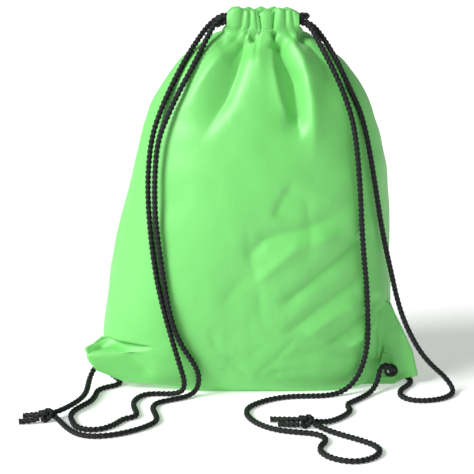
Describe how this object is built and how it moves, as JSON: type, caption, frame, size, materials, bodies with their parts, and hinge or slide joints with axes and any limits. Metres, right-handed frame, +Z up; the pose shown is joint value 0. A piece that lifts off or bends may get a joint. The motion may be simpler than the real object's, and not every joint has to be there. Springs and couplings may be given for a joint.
{
  "type": "drawstring bag",
  "caption": "Drawstring backpack of light nylon, stuffed and standing, mouth drawn closed by two braided cords that run through the hem and the bottom corner eyelets.",
  "frame": {"origin": "on the floor under the bag, midway between the two bottom ears, in the middle of the bag's depth", "axes": "+X to the bag's right as seen from the front, +Y back, +Z up"},
  "size_m": [0.4308, 0.317, 0.384],
  "materials": {
    "nylon_cloth": "coated nylon taffeta, soft satin",
    "sewing_thread": "polyester thread",
    "eyelet_metal": "gunmetal plated",
    "braided_cord": "braided polyester"
  },
  "bodies": {
    "bag": {"front_panel_base": "nylon_cloth", "front_panel_belly": "nylon_cloth", "front_panel_shoulder": "nylon_cloth", "back_panel_base": "nylon_cloth", "back_panel_belly": "nylon_cloth", "back_panel_shoulder": "nylon_cloth", "bottom_seam": "nylon_cloth", "left_side_seam": "nylon_cloth", "right_side_seam": "nylon_cloth", "left_corner_patch": "nylon_cloth", "right_corner_patch": "nylon_cloth", "left_corner_stitching": "sewing_thread", "right_corner_stitching": "sewing_thread", "left_slit_bar_tack": "sewing_thread", "right_slit_bar_tack": "sewing_thread", "left_eyelet": "eyelet_metal", "right_eyelet": "eyelet_metal", "left_eyelet_washer": "eyelet_metal", "right_eyelet_washer": "eyelet_metal", "left_cord_bight": "braided_cord", "left_cord_inner_strand": "braided_cord", "left_cord_outer_strand": "braided_cord", "left_cord_knot": "braided_cord", "left_cord_tails": "braided_cord", "right_cord_bight": "braided_cord", "right_cord_front_strand": "braided_cord", "right_cord_outer_strand": "braided_cord", "right_cord_knot": "braided_cord", "right_cord_tails": "braided_cord"},
    "front_mouth": {"front_casing": "nylon_cloth", "front_casing_stitching": "sewing_thread", "left_cord_front_run": "braided_cord", "right_cord_front_run": "braided_cord"},
    "back_mouth": {"back_casing": "nylon_cloth", "back_casing_stitching": "sewing_thread", "left_cord_back_run": "braided_cord", "right_cord_back_run": "braided_cord"}
  },
  "joints": [
    {"name": "front_mouth_tilt", "type": "hinge", "parent": "bag", "child": "front_mouth", "pos_m": [0.011, -0.017, 0.361], "axis": [1, 0, 0], "range_deg": [0, 45]},
    {"name": "back_mouth_tilt", "type": "hinge", "parent": "bag", "child": "back_mouth", "pos_m": [0.011, 0.017, 0.361], "axis": [1, 0, 0], "range_deg": [-45, 0]}
  ],
  "couplings": [
    {"joint": "back_mouth_tilt", "follows": "front_mouth_tilt", "ratio": -1}
  ]
}
